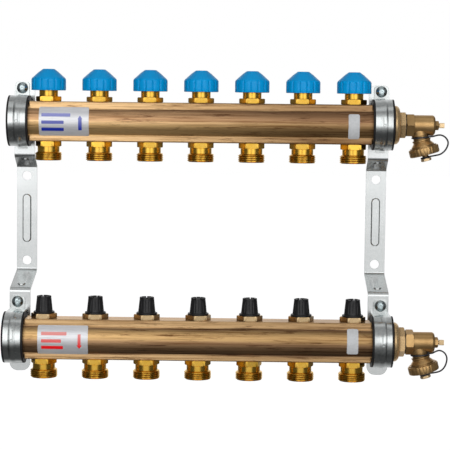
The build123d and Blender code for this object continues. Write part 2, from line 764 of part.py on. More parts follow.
def make_drain_body(axis, clocking):
    """One drain valve body: shank, hexagon, round chamber and a tilted outlet with its thread."""
    hex_face = drain_face + valve_seal_thick
    nut = hex_block(square_on(hex_face, axis), valve_hex_flats, valve_hex_high, clocking, bevel_foot=True)
    with BuildPart() as body:
        add(nut)
        with BuildSketch(upright(0, axis)) as shell:
            with BuildLine():
                Polyline((drain_face - valve_shank, 0),
                         (drain_face - valve_shank, bush_bore_r - thread_fit),
                         (hex_face, bush_bore_r - thread_fit), (body_start, valve_body_r),
                         (body_end, valve_body_r), (body_end, 0), close=True)
            make_face()
            fillet([v for v in shell.vertices() if v.X > body_end - 0.1 and v.Y > 1],
                   radius=valve_body_round)
        revolve(axis=bar_axis(axis))
        neck = [(0, 0), (outlet_neck_r, 0), (outlet_neck_r, ring_groove_start),
                (ring_groove_r, ring_groove_start), (ring_groove_r, ring_groove_end),
                (collar_one_r, ring_groove_end), (collar_one_r, collar_one_end),
                (outlet_neck_r, collar_one_end + hex_chamfer), (outlet_neck_r, flare_start),
                (flare_r, flare_end), (flare_r, outlet_thread_start),
                (outlet_thread_r, outlet_thread_start), (outlet_thread_r, outlet_thread_end - hex_chamfer),
                (outlet_thread_r - hex_chamfer, outlet_thread_end), (0, outlet_thread_end)]
        revolve(outline(outlet_side(axis), neck), axis=outlet_axis(axis))
        extrude(disc(square_on(drain_face - valve_shank, axis), water_bore_r),
                amount=body_start - drain_face + valve_shank, mode=Mode.SUBTRACT)
        extrude(disc(square_on(body_start, axis), valve_seat_r), amount=valve_seat_length,
                mode=Mode.SUBTRACT)
        chamber_start = body_start + valve_seat_length
        extrude(disc(square_on(chamber_start, axis), chamber_r),
                amount=body_end - end_wall - chamber_start, mode=Mode.SUBTRACT)
        extrude(disc(square_on(body_end - end_wall, axis), gland_hole_r), amount=end_wall,
                mode=Mode.SUBTRACT)
        extrude(disc(outlet_square(axis, chamber_r / 2), outlet_bore_r),
                amount=outlet_thread_end, mode=Mode.SUBTRACT)
    return body


return_drain_body = make_drain_body(return_axis, 0.0)
return_drain_body.part.label = "return_drain_body"
export_step(return_drain_body.part, "parts/return_drain_body.step")

supply_drain_body = make_drain_body(supply_axis, 15.0)
supply_drain_body.part.label = "supply_drain_body"
export_step(supply_drain_body.part, "parts/supply_drain_body.step")

# Gland nuts that close the chambers and guide the drain spindles
gland_hexes = [hex_block(square_on(body_end, axis), gland_flats, gland_high, 20.0 * n)
               for n, axis in enumerate((return_axis, supply_axis))]
with BuildPart() as gland_nuts:
    add(gland_hexes)
    for axis in (return_axis, supply_axis):
        extrude(disc(square_on(body_end - end_wall, axis), gland_shank_r), amount=end_wall)
        extrude(disc(square_on(body_end - end_wall, axis), drain_stem_r + drain_stem_fit),
                amount=end_wall + gland_high, mode=Mode.SUBTRACT)
gland_nuts.part.label = "gland_nuts"
export_step(gland_nuts.part, "parts/gland_nuts.step")


def make_drain_spindle(axis):
    """One drain spindle: stem end in the plug, holding collar, guided shank, waist and square tip."""
    collar_end = body_end - end_wall - drain_play
    collar_start = collar_end - drain_collar_long
    plug_start = body_start + valve_seat_length + drain_play
    stem_start = plug_start + drain_plug_wall + drain_travel + drain_play
    waist_start = body_end + gland_high
    tip_start = waist_start + drain_waist_long
    stem = [(stem_start, 0), (stem_start, drain_stem_r), (collar_start, drain_stem_r),
            (collar_start, drain_collar_r), (collar_end, drain_collar_r), (collar_end, drain_stem_r),
            (waist_start, drain_stem_r), (waist_start, drain_waist_r), (tip_start, drain_waist_r),
            (tip_start, 0)]
    with BuildPart() as spindle:
        revolve(outline(upright(0, axis), stem), axis=bar_axis(axis))
        with BuildSketch(square_on(tip_start, axis)):
            RectangleRounded(drain_square, drain_square, hex_chamfer)
        extrude(amount=drain_square_long)
    return spindle


return_drain_spindle = make_drain_spindle(return_axis)
return_drain_spindle.part.label = "return_drain_spindle"
export_step(return_drain_spindle.part, "parts/return_drain_spindle.step")

supply_drain_spindle = make_drain_spindle(supply_axis)
supply_drain_spindle.part.label = "supply_drain_spindle"
export_step(supply_drain_spindle.part, "parts/supply_drain_spindle.step")


def make_drain_plug(axis):
    """One drain plug, which the spindle draws back from the seat."""
    start = body_start + valve_seat_length + drain_play
    with BuildPart() as plug:
        extrude(disc(square_on(start, axis), drain_plug_r), amount=drain_plug_long)
        extrude(disc(square_on(start + drain_plug_wall, axis), drain_stem_r + drain_stem_fit),
                amount=drain_plug_long, mode=Mode.SUBTRACT)
    return plug


return_drain_plug = make_drain_plug(return_axis)
return_drain_plug.part.label = "return_drain_plug"
export_step(return_drain_plug.part, "parts/return_drain_plug.step")

supply_drain_plug = make_drain_plug(supply_axis)
supply_drain_plug.part.label = "supply_drain_plug"
export_step(supply_drain_plug.part, "parts/supply_drain_plug.step")


def make_cap_washer(axis):
    """One flat washer between an outlet's mouth and its cap."""
    with BuildPart() as washer:
        with BuildSketch(outlet_square(axis, outlet_thread_end + washer_gap)):
            Circle(washer_r)
            Circle(washer_hole_r, mode=Mode.SUBTRACT)
        extrude(amount=washer_thick)
    return washer


return_cap_washer = make_cap_washer(return_axis)
return_cap_washer.part.label = "return_cap_washer"
export_step(return_cap_washer.part, "parts/return_cap_washer.step")

supply_cap_washer = make_cap_washer(supply_axis)
supply_cap_washer.part.label = "supply_cap_washer"
export_step(supply_cap_washer.part, "parts/supply_cap_washer.step")


def make_drain_cap(axis):
    """One outlet cap: a ribbed ring with a closed face, a neck for the tether and a hexagon key."""
    key = hex_block(outlet_square(axis, key_start), key_flats, key_high)
    inside = outlet_thread_r + outlet_cap_fit
    floor = outlet_cap_end - outlet_cap_face
    turned = [(0, floor), (inside, floor), (inside, outlet_cap_start),
              (outlet_cap_r - hex_chamfer, outlet_cap_start),
              (outlet_cap_r, outlet_cap_start + hex_chamfer),
              (outlet_cap_r, outlet_cap_end - hex_chamfer), (outlet_cap_r - hex_chamfer, outlet_cap_end),
              (key_neck_r, outlet_cap_end), (key_neck_r, key_start), (0, key_start)]
    with BuildPart() as cap:
        add(key)
        revolve(outline(outlet_side(axis), turned), axis=outlet_axis(axis))
        with BuildSketch(outlet_square(axis, outlet_cap_start)):
            with PolarLocations(outlet_cap_r, outlet_cap_ribs):
                Circle(outlet_cap_rib_r)
        extrude(amount=outlet_cap_end - outlet_cap_start, mode=Mode.SUBTRACT)
    return cap


return_drain_cap = make_drain_cap(return_axis)
return_drain_cap.part.label = "return_drain_cap"
export_step(return_drain_cap.part, "parts/return_drain_cap.step")

supply_drain_cap = make_drain_cap(supply_axis)
supply_drain_cap.part.label = "supply_drain_cap"
export_step(supply_drain_cap.part, "parts/supply_drain_cap.step")


def route_radii(points):
    """The largest tangent arc at each corner of a route, from its shorter run and its turn."""
    radii = []
    for before, corner, after in zip(points, points[1:], points[2:]):
        first = Vector(*corner) - Vector(*before)
        second = Vector(*after) - Vector(*corner)
        half_turn = math.radians(first.get_angle(second)) / 2
        radii.append(0.45 * min(first.length, second.length) / math.tan(half_turn))
    return radii


def make_tether(axis, bulge):
    """One tether: a ring on the outlet's neck, a loop of cord and a ring under the cap."""
    depth, height = axis
    one = outlet_square(axis, ring_one_reach).rotated((0, ring_one_lean, 0))
    two = outlet_square(axis, key_start - ring_two_thick / 2 - ring_fit)
    leave = one.origin + one.x_dir * (ring_one_r - tether_r)
    meet = two.origin + two.x_dir * (ring_two_r - tether_r)
    points = [(leave.X, depth, leave.Z)]
    points += [(outlet_foot + dx, depth + dy, height + dz) for dx, dy, dz in bulge]
    points += [(meet.X, depth, meet.Z)]
    radii = route_radii(points)
    print("tether arcs", [round(r, 1) for r in radii])
    with BuildPart() as tether:
        with BuildLine() as route:
            cord = FilletPolyline(*points, radius=radii)
        with BuildSketch(Plane(origin=cord @ 0, z_dir=cord % 0)):
            Circle(tether_r)
        sweep(path=route.line)
        straight_volume = math.pi * tether_r**2 * cord.length
        share = tether.part.volume / straight_volume
        print("tether length", round(cord.length, 1), "volume share", round(share, 4))
        with BuildSketch(one):
            Circle(ring_one_r)
            Circle(ring_groove_r + ring_one_fit, mode=Mode.SUBTRACT)
        extrude(amount=ring_one_thick / 2, both=True)
        with BuildSketch(two):
            Circle(ring_two_r)
            Circle(key_neck_r + ring_fit, mode=Mode.SUBTRACT)
        extrude(amount=ring_two_thick / 2, both=True)
    return tether


# The loops' points, measured from the foot of the outlet: along, back and up
return_loop = [(15.0, 0, -10.95), (19.0, -0.6, -9.4), (23.4, -1.4, -9.1), (27.6, -2.0, -11.5),
               (30.2, -2.2, -15.8), (29.4, -2.0, -20.4), (27.0, -1.4, -24.8), (23.0, -0.8, -28.2),
               (18.0, 0, -29.4)]
supply_loop = [(15.0, 0, -10.95), (18.4, -0.6, -8.6), (22.4, -1.4, -7.3), (27.0, -2.2, -9.6),
               (29.3, -2.6, -14.2), (28.8, -2.4, -19.8), (26.4, -1.6, -25.4), (21.4, -0.8, -29.3)]

return_tether = make_tether(return_axis, return_loop)
return_tether.part.label = "return_tether"
export_step(return_tether.part, "parts/return_tether.step")

supply_tether = make_tether(supply_axis, supply_loop)
supply_tether.part.label = "supply_tether"
export_step(supply_tether.part, "parts/supply_tether.step")


def label_face(axis, start, length, low, high):
    """A thin sheet wrapped on the front of a bar between two heights."""
    inner = bar_outer_r + label_gap
    outer = inner + label_thick

    def at(radius, height):
        return (-math.sqrt(radius**2 - height**2), height)

    with BuildPart() as sheet:
        with BuildSketch(square_on(start, axis)):
            with BuildLine():
                ThreePointArc(at(outer, low), (-outer, 0), at(outer, high))
                Line(at(outer, high), at(inner, high))
                ThreePointArc(at(inner, high), (-inner, 0), at(inner, low))
                Line(at(inner, low), at(outer, low))
            make_face()
        extrude(amount=length)
    return sheet.part


# Foil labels by the first port of each bar
foils = [label_face(axis, port_x[0] - lead, foil_length, -pad_foot, pad_foot)
         for axis, lead in ((return_axis, return_foil_lead), (supply_axis, supply_foil_lead))]
with BuildPart() as foil_labels:
    add(foils)
foil_labels.part.label = "foil_labels"
export_step(foil_labels.part, "parts/foil_labels.step")

# Small white labels between the last port and the right clamp
marker_x = bar_half - marker_inset - marker_width / 2
markers = [label_face(axis, marker_x, marker_width, low, high)
           for axis, low, high in ((return_axis, -pad_foot, marker_short),
                                   (supply_axis, -marker_short, pad_foot))]
with BuildPart() as marker_labels:
    add(markers)
marker_labels.part.label = "marker_labels"
export_step(marker_labels.part, "parts/marker_labels.step")
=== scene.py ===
# %% [markdown]
# # A heating manifold, dressed on its CAD frame
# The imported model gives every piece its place. This notebook keeps the CAD nodes whose form is right and
# gives them a finish, and builds finer pieces for threads, caps, labels and cords. Lengths are in metres;
# the wall is the plane y = 0, X runs along the bars and Z is up.

# %% Load the frame
import json
import math

import bmesh
import bpy
from mathutils import Matrix, Vector


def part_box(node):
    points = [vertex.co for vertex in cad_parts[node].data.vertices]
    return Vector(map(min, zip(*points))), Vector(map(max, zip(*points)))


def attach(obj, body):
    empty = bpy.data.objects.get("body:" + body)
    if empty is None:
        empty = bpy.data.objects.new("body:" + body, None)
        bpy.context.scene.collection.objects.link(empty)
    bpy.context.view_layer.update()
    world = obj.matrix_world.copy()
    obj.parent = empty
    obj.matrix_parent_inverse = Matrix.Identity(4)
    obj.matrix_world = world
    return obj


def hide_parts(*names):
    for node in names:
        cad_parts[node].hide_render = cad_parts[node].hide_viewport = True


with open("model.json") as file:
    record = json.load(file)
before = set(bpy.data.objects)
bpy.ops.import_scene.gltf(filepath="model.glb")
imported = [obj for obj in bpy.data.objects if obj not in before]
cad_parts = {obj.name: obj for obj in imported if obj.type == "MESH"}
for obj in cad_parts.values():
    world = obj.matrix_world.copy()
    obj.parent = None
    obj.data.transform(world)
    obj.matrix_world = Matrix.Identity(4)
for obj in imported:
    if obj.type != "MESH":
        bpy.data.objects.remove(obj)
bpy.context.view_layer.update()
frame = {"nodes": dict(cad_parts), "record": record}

MM = 0.001

# %% [markdown]
# ## Where the bars and ports are
# Everything is hung from the two bar axes and the seven port positions. They are read from the frame:
# the bars' boxes give their middles, and the return pins' boxes give the ports.

# %% Driving places, from the frame


def middle(node):
    """The centre of a CAD node's box."""
    low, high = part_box(node)
    return (Vector(low) + Vector(high)) / 2


return_axis = middle("return_bar")
supply_axis = middle("supply_bar")
port_count = len([name for name in frame["nodes"] if name.startswith("return_pin_")])
port_x = [middle(f"return_pin_{n}").x for n in range(1, port_count + 1)]
bar_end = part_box("return_bar")[1][0]
print("ports", [round(x, 3) for x in port_x], "return", return_axis, "supply", supply_axis)

# %% [markdown]
# ## The camera
# The photograph was taken from the front, a little above the upper bar, with a long lens. Its place was
# worked out from the port spacing, which shrinks slightly on the bar that stands further back. A camera
# is only a matrix: three directions and a place.

# %% Camera
camera_spot = Vector((39.26, -1597.59, 118.25)) * MM
camera_yaw, camera_pitch, camera_roll = -0.0093, 0.0770, 0.0116
focal_in_frames = 1578.7 / 450

forward = Vector((math.sin(camera_yaw) * math.cos(camera_pitch),
                  math.cos(camera_yaw) * math.cos(camera_pitch), -math.sin(camera_pitch)))
level_right = Vector((math.cos(camera_yaw), -math.sin(camera_yaw), 0))
level_up = level_right.cross(forward)
right = level_right * math.cos(camera_roll) + level_up * math.sin(camera_roll)
up = level_up * math.cos(camera_roll) - level_right * math.sin(camera_roll)
lens = bpy.data.cameras.new("camera")
lens.sensor_width = 36
lens.lens = 36 * focal_in_frames
camera = bpy.data.objects.new("camera", lens)
camera.matrix_world = Matrix.Translation(camera_spot) @ Matrix((right, up, -forward)).transposed().to_4x4()
bpy.context.scene.collection.objects.link(camera)
bpy.context.scene.camera = camera
print("camera at", camera.location, "lens", round(lens.lens, 1))

# %% [markdown]
# ## A small kit for finishes
# Each finish starts from one shader with its plain numbers set on its own sockets. Colour that varies,
# such as streaks and stains, comes from noise that is stretched in the object's own space, so it stays
# on the metal from every side. A bump of the same noise gives the light something to catch. A darker
# colour near other surfaces is painted shade, standing for the light that corners miss. The helpers
# take a material or the world, because each of them holds a tree of nodes.

# %% Material kit


def add(owner, kind, **values):
    """A new node in the tree of a material or the world, with plain values on its inputs."""
    node = owner.node_tree.nodes.new("ShaderNode" + kind)
    for socket, value in values.items():
        node.inputs[socket.replace("_", " ")].default_value = value
    return node


def link(a, b):
    """Join an output socket to an input socket of the same tree."""
    a.id_data.links.new(a, b)


def finish(name, color, metallic=0.0, roughness=0.5, **more):
    """A material with one shader, its plain values set directly."""
    material = bpy.data.materials.new(name)
    material.use_nodes = True
    shader = material.node_tree.nodes["Principled BSDF"]
    values = {"Base_Color": (*color, 1), "Metallic": metallic, "Roughness": roughness, **more}
    for socket, value in values.items():
        shader.inputs[socket.replace("_", " ")].default_value = value
    return material


def coordinates(owner, space):
    """X, Y and Z of the shaded point in one of its spaces, as three sockets."""
    place, split = add(owner, "TexCoord"), add(owner, "SeparateXYZ")
    link(place.outputs[space], split.inputs[0])
    return split.outputs


def noise(material, stretch, detail=6.0, rough=0.6):
    """Noise in the object's space, as fine as one number says or as three say, one for each axis."""
    place = add(material, "TexCoord")
    squeeze = add(material, "Mapping", Scale=stretch if isinstance(stretch, tuple) else (stretch,) * 3)
    grain = add(material, "TexNoise", Scale=1.0, Detail=detail, Roughness=rough)
    link(place.outputs["Object"], squeeze.inputs["Vector"])
    link(squeeze.outputs["Vector"], grain.inputs["Vector"])
    return grain.outputs["Fac"]


def spread(owner, source, low, high, new_low=0.0, new_high=1.0):
    """Carry the values between two levels over to two new ones."""
    node = add(owner, "MapRange", From_Min=low, From_Max=high, To_Min=new_low, To_Max=new_high)
    link(source, node.inputs["Value"])
    return node.outputs["Result"]


def ramp(owner, source, steps):
    """Turn a grey value into colours."""
    node = add(owner, "ValToRGB")
    while len(node.color_ramp.elements) < len(steps):
        node.color_ramp.elements.new(0.5)
    for element, (place, color) in zip(node.color_ramp.elements, steps):
        element.position, element.color = place, (*color, 1)
    link(source, node.inputs["Fac"])
    return node.outputs["Color"]


def blend(owner, kind, amount, a, b):
    """Mix two colours; the amount and each colour may be a socket or a plain value."""
    node = add(owner, "Mix")
    node.data_type, node.blend_type = "RGBA", kind
    first, second = [socket for socket in node.inputs if socket.type == "RGBA"]
    for target, value in ((node.inputs["Factor"], amount), (first, a), (second, b)):
        if isinstance(value, bpy.types.NodeSocket):
            link(value, target)
        else:
            target.default_value = (*value, 1) if isinstance(value, tuple) else value
    return [socket for socket in node.outputs if socket.type == "RGBA"][0]


def paint(material, socket, source):
    """Feed one of the shader's inputs."""
    link(source, material.node_tree.nodes["Principled BSDF"].inputs[socket])


def gloss(material, source, low, high):
    """Let the roughness wander between two levels; noise seldom leaves 0.3 to 0.7."""
    paint(material, "Roughness", spread(material, source, 0.3, 0.7, low, high))


def bump(material, source, distance, rounding=0.0):
    """Raise the surface by a grey value, in metres, and round its sharp edges a little."""
    node = add(material, "Bump", Distance=distance)
    link(source, node.inputs["Height"])
    if rounding:
        edge = add(material, "Bevel", Radius=rounding)
        edge.samples = 4
        link(edge.outputs["Normal"], node.inputs["Normal"])
    paint(material, "Normal", node.outputs["Normal"])


def crevice_shade(material, color, reach, depth):
    """Paint shade into a colour where another surface lies within reach, darkening it down to a share of
    it.
    """
    near = add(material, "AmbientOcclusion", Distance=reach)
    near.samples = 8
    shade = ramp(material, near.outputs["AO"], [(0.25, (depth, depth, depth)), (0.85, (1, 1, 1))])
    return blend(material, "MULTIPLY", 1.0, color, shade)


print("kit ready")

# %% [markdown]
# ## A studio for metal
# Bright metal shows its surroundings, so the surroundings are the real light here. Two tall soft boxes
# stand left and right of the camera with a narrow gap between them, which gives round brass its pair of
# bright stripes. The room has one grey for each direction: bright at eye level, dimmer overhead, nearly
# black below, and light again low behind the object, but only in a narrow window before and behind it.
# That makes a rolled band bright in its middle, dark under it and light again at its lower edge, and
# shows every facet that turns away. Such a room is the lighter of two ramps, one upwards and one
# backwards, times a ramp across. Plastics and paper need plain broad light instead, so a fill light adds
# that and stays out of the metal.

# %% Soft boxes and world
scene = bpy.context.scene
scene.view_settings.view_transform = "Standard"


def soft_box(name, spot, aim, width, height, power):
    """A rectangular lamp that faces a point."""
    lamp = bpy.data.lights.new(name, "AREA")
    lamp.shape = "RECTANGLE"
    lamp.size, lamp.size_y, lamp.energy = width, height, power
    holder = bpy.data.objects.new(name, lamp)
    holder.matrix_world = (Matrix.Translation(spot)
                           @ (Vector(aim) - Vector(spot)).to_track_quat("-Z", "Y").to_matrix().to_4x4())
    scene.collection.objects.link(holder)
    return holder


soft_box("left_soft_box", (-0.54, -1.15, 0.36), (0, 0, 0), 0.76, 0.80, 1.4)
soft_box("right_soft_box", (0.58, -1.15, 0.36), (0, 0, 0), 0.76, 0.80, 1.35)
soft_box("top_soft_box", (0.0, -0.30, 1.20), (0, -0.05, 0), 1.4, 0.4, 0.5)
fill = soft_box("fill_light", (0.05, -1.9, 0.55), (0, 0, 0), 2.2, 1.2, 21)
fill.visible_glossy = False

world = bpy.data.worlds.new("studio")
scene.world = world
world.use_nodes = True
world.node_tree.nodes.clear()
direction = coordinates(world, "Generated")
side_to_side = [(0.0, 0.12), (0.20, 0.12), (0.30, 1.0), (0.70, 1.0), (0.80, 0.12), (1.0, 0.12)]
down_to_up = [(0.0, 0.07), (0.10, 0.05), (0.22, 0.10), (0.29, 0.24), (0.37, 0.46), (0.45, 0.78),
              (0.52, 0.92), (0.64, 0.88), (0.72, 0.74), (0.80, 0.55), (0.86, 0.40), (0.92, 0.28),
              (0.98, 0.36), (1.0, 0.24)]
front_to_back = [(0.56, 0.0), (0.66, 0.20), (0.74, 0.34), (0.84, 0.46), (0.94, 0.62), (1.0, 0.78)]


def greys(way, stops):
    """The room's grey along one direction, from pairs of a place between its ends and a level."""
    across = spread(world, direction[way], -1, 1)
    return ramp(world, across, [(place, (grey,) * 3) for place, grey in stops])


upright = blend(world, "LIGHTEN", 1.0, greys("Z", down_to_up), greys("Y", front_to_back))
room = blend(world, "MULTIPLY", 1.0, upright, greys("X", side_to_side))
eye = add(world, "LightPath")
glow = add(world, "Background")
link(blend(world, "MIX", eye.outputs["Is Camera Ray"], room, (1, 1, 1)), glow.inputs["Color"])
link(glow.outputs[0], add(world, "OutputWorld").inputs["Surface"])
print("world has", len(side_to_side), "steps of grey across,", len(down_to_up), "up and",
      len(front_to_back), "back")

# %% [markdown]
# ## The floor
# The manifold hangs on a wall, so the floor lies well below it and only takes a faint shadow. It is
# white to the camera, where a little glow is added to the light it receives. Reflections pass through it
# to the world's dark lower half, which draws the dark underside of every round piece.

# %% Floor
floor_drop, side = 0.50, 12.0
floor_mesh = bpy.data.meshes.new("floor")
floor_mesh.from_pydata([(-side, -side, -floor_drop), (side, -side, -floor_drop),
                        (side, side, -floor_drop), (-side, side, -floor_drop)], [], [(0, 1, 2, 3)])
floor = bpy.data.objects.new("floor", floor_mesh)
scene.collection.objects.link(floor)
pale = finish("pale_floor", (0.52, 0.52, 0.53), 0.0, 0.9)
plain = pale.node_tree.nodes["Principled BSDF"].outputs[0]
both, pick, eye = add(pale, "AddShader"), add(pale, "MixShader"), add(pale, "LightPath")
link(plain, both.inputs[0])
link(add(pale, "Emission", Strength=0.85).outputs[0], both.inputs[1])
link(eye.outputs["Is Camera Ray"], pick.inputs[0])
link(plain, pick.inputs[1])
link(both.outputs[0], pick.inputs[2])
link(pick.outputs[0], pale.node_tree.nodes["Material Output"].inputs["Surface"])
floor_mesh.materials.append(pale)
floor.visible_glossy = False
print("floor", floor_drop, "below the wall holes")

# %% [markdown]
# ## Drawn brass
# The bars are extruded and drawn, then left as they come: brown brass with long fine scratches, small dark
# stains, and painted bands of shade and highlight that run along them. Noise stretched sixtyfold along X
# gives the scratches, and a shorter one the stains. The painted bands are a ramp over the height on the
# bar, shaken a little: the pads stay at full tone, and the belly is darker with painted shade, with a
# painted shadow line where it meets the pads. The upper bar has a painted highlight along its middle,
# and both are browner towards their right ends. A little of the surface is oxide, which isn't metallic.

# %% Bar brass
zone_reach, zone_wander = 20 * MM, 0.16


def drawn_brass(name, axis, metallic, ageing, tone_bands):
    """Brass with scratches along X and painted bands of shade and highlight at heights over the bar's axis,
    in millimetres.
    """
    material = finish(name, (0.94, 0.64, 0.36), metallic, 0.36)
    streaks = noise(material, (8, 480, 480), 5, 0.75)
    flecks = noise(material, (26, 300, 300), 6, 0.75)
    place = coordinates(material, "Object")
    shaken = add(material, "Math")
    shaken.operation = "MULTIPLY_ADD"
    shaken.inputs[1].default_value = zone_wander
    link(noise(material, (9, 60, 60), 3, 0.5), shaken.inputs[0])
    link(spread(material, place["Z"], axis.z - zone_reach, axis.z + zone_reach), shaken.inputs[2])
    steps = [((height * MM / zone_reach + 1 + zone_wander) / 2, color) for height, color in tone_bands]
    scratches = ramp(material, streaks, [(0.37, (0.38, 0.28, 0.20)), (0.53, (1, 1, 1))])
    lined = blend(material, "MULTIPLY", 0.75, ramp(material, shaken.outputs[0], steps), scratches)
    age = ramp(material, spread(material, place["X"], port_x[0], port_x[-1]),
               [(0.25, (1, 1, 1)), (0.5, (0.80, 0.78, 0.76)), (0.85, (0.44, 0.40, 0.38))])
    aged = blend(material, "MULTIPLY", ageing, lined, age)
    stains = ramp(material, flecks, [(0.35, (0.26, 0.17, 0.14)), (0.45, (1, 1, 1))])
    paint(material, "Base Color", blend(material, "MULTIPLY", 0.8, aged, stains))
    gloss(material, streaks, 0.42, 0.30)
    bump(material, streaks, 0.00007, 0.35 * MM)
    return material


# Tones of the painted shade and highlight bands: full tone on the pads and the upper bar's painted
# highlight line, darker where shade is painted
full_tone, ochre, half_shade = (0.97, 0.64, 0.32), (0.96, 0.62, 0.27), (0.78, 0.50, 0.22)
brown, dark = (0.76, 0.46, 0.24), (0.36, 0.21, 0.11)
upper_brass = drawn_brass("drawn_brass_upper", return_axis, 0.85, 1.0, [
    (-14.0, full_tone), (-12.6, ochre), (-3.0, ochre), (-0.5, full_tone), (0.6, full_tone), (2.0, brown),
    (9.5, brown), (11.8, dark), (13.0, full_tone)])
lower_brass = drawn_brass("drawn_brass_lower", supply_axis, 0.95, 0.5, [
    (-14.0, full_tone), (-12.6, dark), (-6.0, brown), (-1.0, brown), (2.0, half_shade), (9.0, half_shade),
    (11.8, dark), (13.0, full_tone)])
print("bar brass has", len(lower_brass.node_tree.nodes), "nodes")

# %% [markdown]
# ## Turned brass, cast bronze and zinc
# The fittings are turned from bright yellow brass: smooth, with fine rings round their axes that are too
# small to see from here, so only a little noise breaks the reflection. The supply bar's inserts are of a
# paler brass. The drain valves are browner, sand-blasted after casting, so a fine bump dulls them; their
# bushes are turned, and the ends that keys grip are worn bright. The brackets are zinc strip with an even
# sheen. The clamps are rolled from such strip, which leaves it wavy and shinier, and their screws are
# plated with a bluer zinc. The brass and bronze carry painted shade, darker in their corners.

# %% Metals
fitting_brass = finish("turned_brass", (0.90, 0.56, 0.12), 1.0, 0.22)
bright = noise(fitting_brass, 260, 4, 0.5)
gold = ramp(fitting_brass, bright, [(0.3, (0.95, 0.55, 0.07)), (0.7, (1.0, 0.61, 0.11))])
paint(fitting_brass, "Base Color", crevice_shade(fitting_brass, gold, 4 * MM, 0.5))
gloss(fitting_brass, bright, 0.20, 0.26)
bump(fitting_brass, bright, 0.000006)

valve_bronze = finish("blasted_bronze", (0.50, 0.31, 0.13), 0.85, 0.31)
brown_gold = ramp(valve_bronze, noise(valve_bronze, 90, 4, 0.55),
                  [(0.3, (0.50, 0.30, 0.12)), (0.7, (0.66, 0.42, 0.18))])
paint(valve_bronze, "Base Color", crevice_shade(valve_bronze, brown_gold, 4 * MM, 0.2))
bump(valve_bronze, noise(valve_bronze, 1500, 3, 0.6), 0.00007, 0.3 * MM)

bush_brass = finish("bush_brass", (0.80, 0.56, 0.30), 0.75, 0.28)
paint(bush_brass, "Base Color", crevice_shade(bush_brass, (0.80, 0.55, 0.28), 4 * MM, 0.15))
gloss(bush_brass, noise(bush_brass, 700), 0.24, 0.36)

key_brass = finish("key_brass", (0.82, 0.60, 0.34), 0.7, 0.30)
gloss(key_brass, noise(key_brass, 900), 0.24, 0.36)

pale_brass = finish("pale_brass", (0.80, 0.58, 0.32), 1.0, 0.26)
straw = ramp(pale_brass, noise(pale_brass, 200), [(0.3, (0.74, 0.52, 0.27)), (0.7, (0.84, 0.62, 0.36))])
paint(pale_brass, "Base Color", crevice_shade(pale_brass, straw, 4 * MM, 0.3))

zinc = finish("bright_zinc", (0.80, 0.85, 0.87), 1.0, 0.24)
mottle = noise(zinc, 420, 4, 0.55)
paint(zinc, "Base Color", ramp(zinc, mottle, [(0.3, (0.64, 0.68, 0.68)), (0.7, (0.76, 0.78, 0.77))]))
gloss(zinc, mottle, 0.18, 0.26)
bump(zinc, noise(zinc, (40, 75, 75), 0, 0.4), 0.0015, 0.4 * MM)

strip_zinc = finish("zinc_strip", (0.80, 0.83, 0.83), 1.0, 0.26)
spangle = noise(strip_zinc, 300, 4, 0.55)
paint(strip_zinc, "Base Color",
      ramp(strip_zinc, spangle, [(0.3, (0.78, 0.81, 0.81)), (0.7, (0.84, 0.86, 0.86))]))
gloss(strip_zinc, spangle, 0.23, 0.27)
bump(strip_zinc, noise(strip_zinc, 40, 0, 0.4), 0.0002, 0.3 * MM)

blue_zinc = finish("blue_zinc", (0.60, 0.70, 0.72), 1.0, 0.28)
gloss(blue_zinc, noise(blue_zinc, 800), 0.22, 0.34)

pin_steel = finish("ground_steel", (0.62, 0.62, 0.63), 1.0, 0.3)
gloss(pin_steel, noise(pin_steel, (900, 900, 60)), 0.2, 0.4)
metals = (fitting_brass, valve_bronze, bush_brass, key_brass, pale_brass, zinc, strip_zinc, blue_zinc,
          pin_steel)
print("metals", [metal.name for metal in metals])

# %% [markdown]
# ## Rubber and plastics
# The clamps' linings are dull black rubber. The hand caps are moulded in clear strong blue with a
# satin skin, the regulating caps in black. Mould texture is a very fine bump.

# %% Rubber and plastics
black_rubber = finish("black_rubber", (0.012, 0.012, 0.013), 0.0, 0.55, Specular_IOR_Level=0.3)
bump(black_rubber, noise(black_rubber, 1200, 3), 0.00005)
gloss(black_rubber, noise(black_rubber, 200), 0.45, 0.65)

blue_plastic = finish("blue_plastic", (0.0, 0.34, 0.76), 0.0, 0.30, Specular_IOR_Level=0.2)
cyan = ramp(blue_plastic, noise(blue_plastic, 60), [(0.3, (0.0, 0.28, 0.64)), (0.7, (0.0, 0.31, 0.69))])
# painted shade darkens the blue where other surfaces are near
paint(blue_plastic, "Base Color", crevice_shade(blue_plastic, cyan, 2 * MM, 0.4))
bump(blue_plastic, noise(blue_plastic, 1600, 3), 0.00002)

black_plastic = finish("black_plastic", (0.011, 0.011, 0.012), 0.0, 0.36)
bump(black_plastic, noise(black_plastic, 1500, 3), 0.00003)
gloss(black_plastic, noise(black_plastic, 150), 0.30, 0.44)

tether_plastic = finish("tether_plastic", (0.03, 0.03, 0.034), 0.0, 0.35)
gloss(tether_plastic, noise(tether_plastic, 400), 0.3, 0.45)
print("plastics ready")

# %% [markdown]
# ## Dressing the CAD nodes
# A node whose form is right stays as it is and only takes a finish: its own where the real piece differs
# from the rest of its metal, or else that of its slot. The finishes of the bars, valves, clamps and
# brackets also round each edge a little: no real edge is quite sharp, and its thin bright line sells them.

